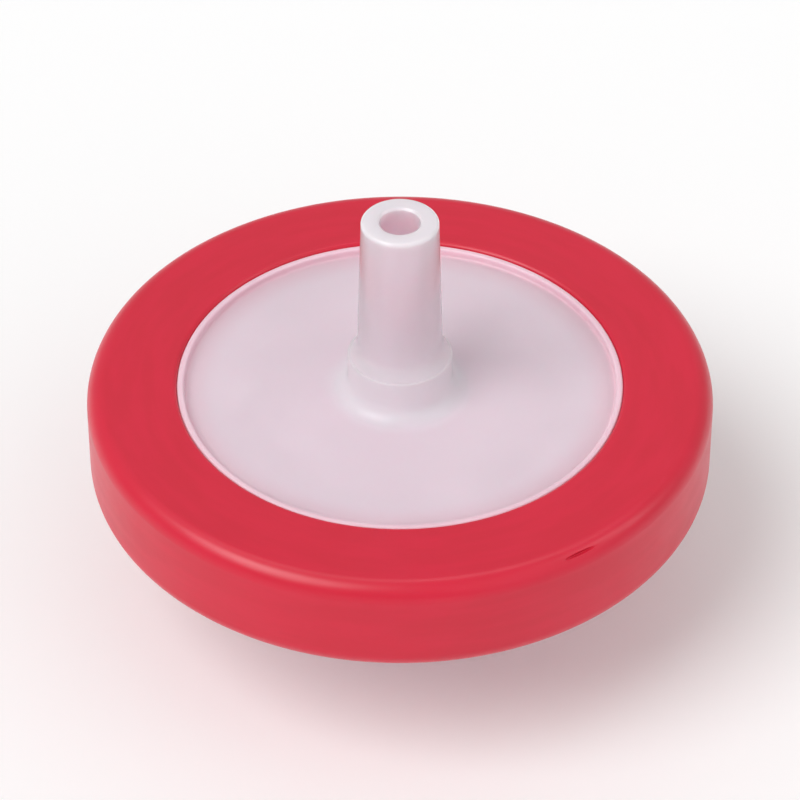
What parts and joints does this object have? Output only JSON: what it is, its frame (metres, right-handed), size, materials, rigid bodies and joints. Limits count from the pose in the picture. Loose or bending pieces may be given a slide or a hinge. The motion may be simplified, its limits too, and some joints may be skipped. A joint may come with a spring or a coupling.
{
  "type": "syringe filter",
  "caption": "Round syringe filter: translucent halves pinch a white membrane inside a red moulded ring, with a lock socket inlet and a slip tip outlet.",
  "frame": {"origin": "centre of the inlet hub's flat end, which it stands on", "axes": "+Z along the filter's axis, from the inlet hub to the slip tip; +X through one of the two lock lugs"},
  "size_m": [0.033, 0.033, 0.0238],
  "materials": {
    "ring_red": "glossy moulded polypropylene, solid red, with faint flow marks",
    "housing_milky": "natural polypropylene, milky and translucent, smooth",
    "membrane_white": "matt white porous PTFE, very fine grain"
  },
  "bodies": {
    "root": {"overmould_ring": "ring_red", "inlet_housing": "housing_milky", "outlet_housing": "housing_milky", "membrane": "membrane_white"}
  },
  "joints": []
}
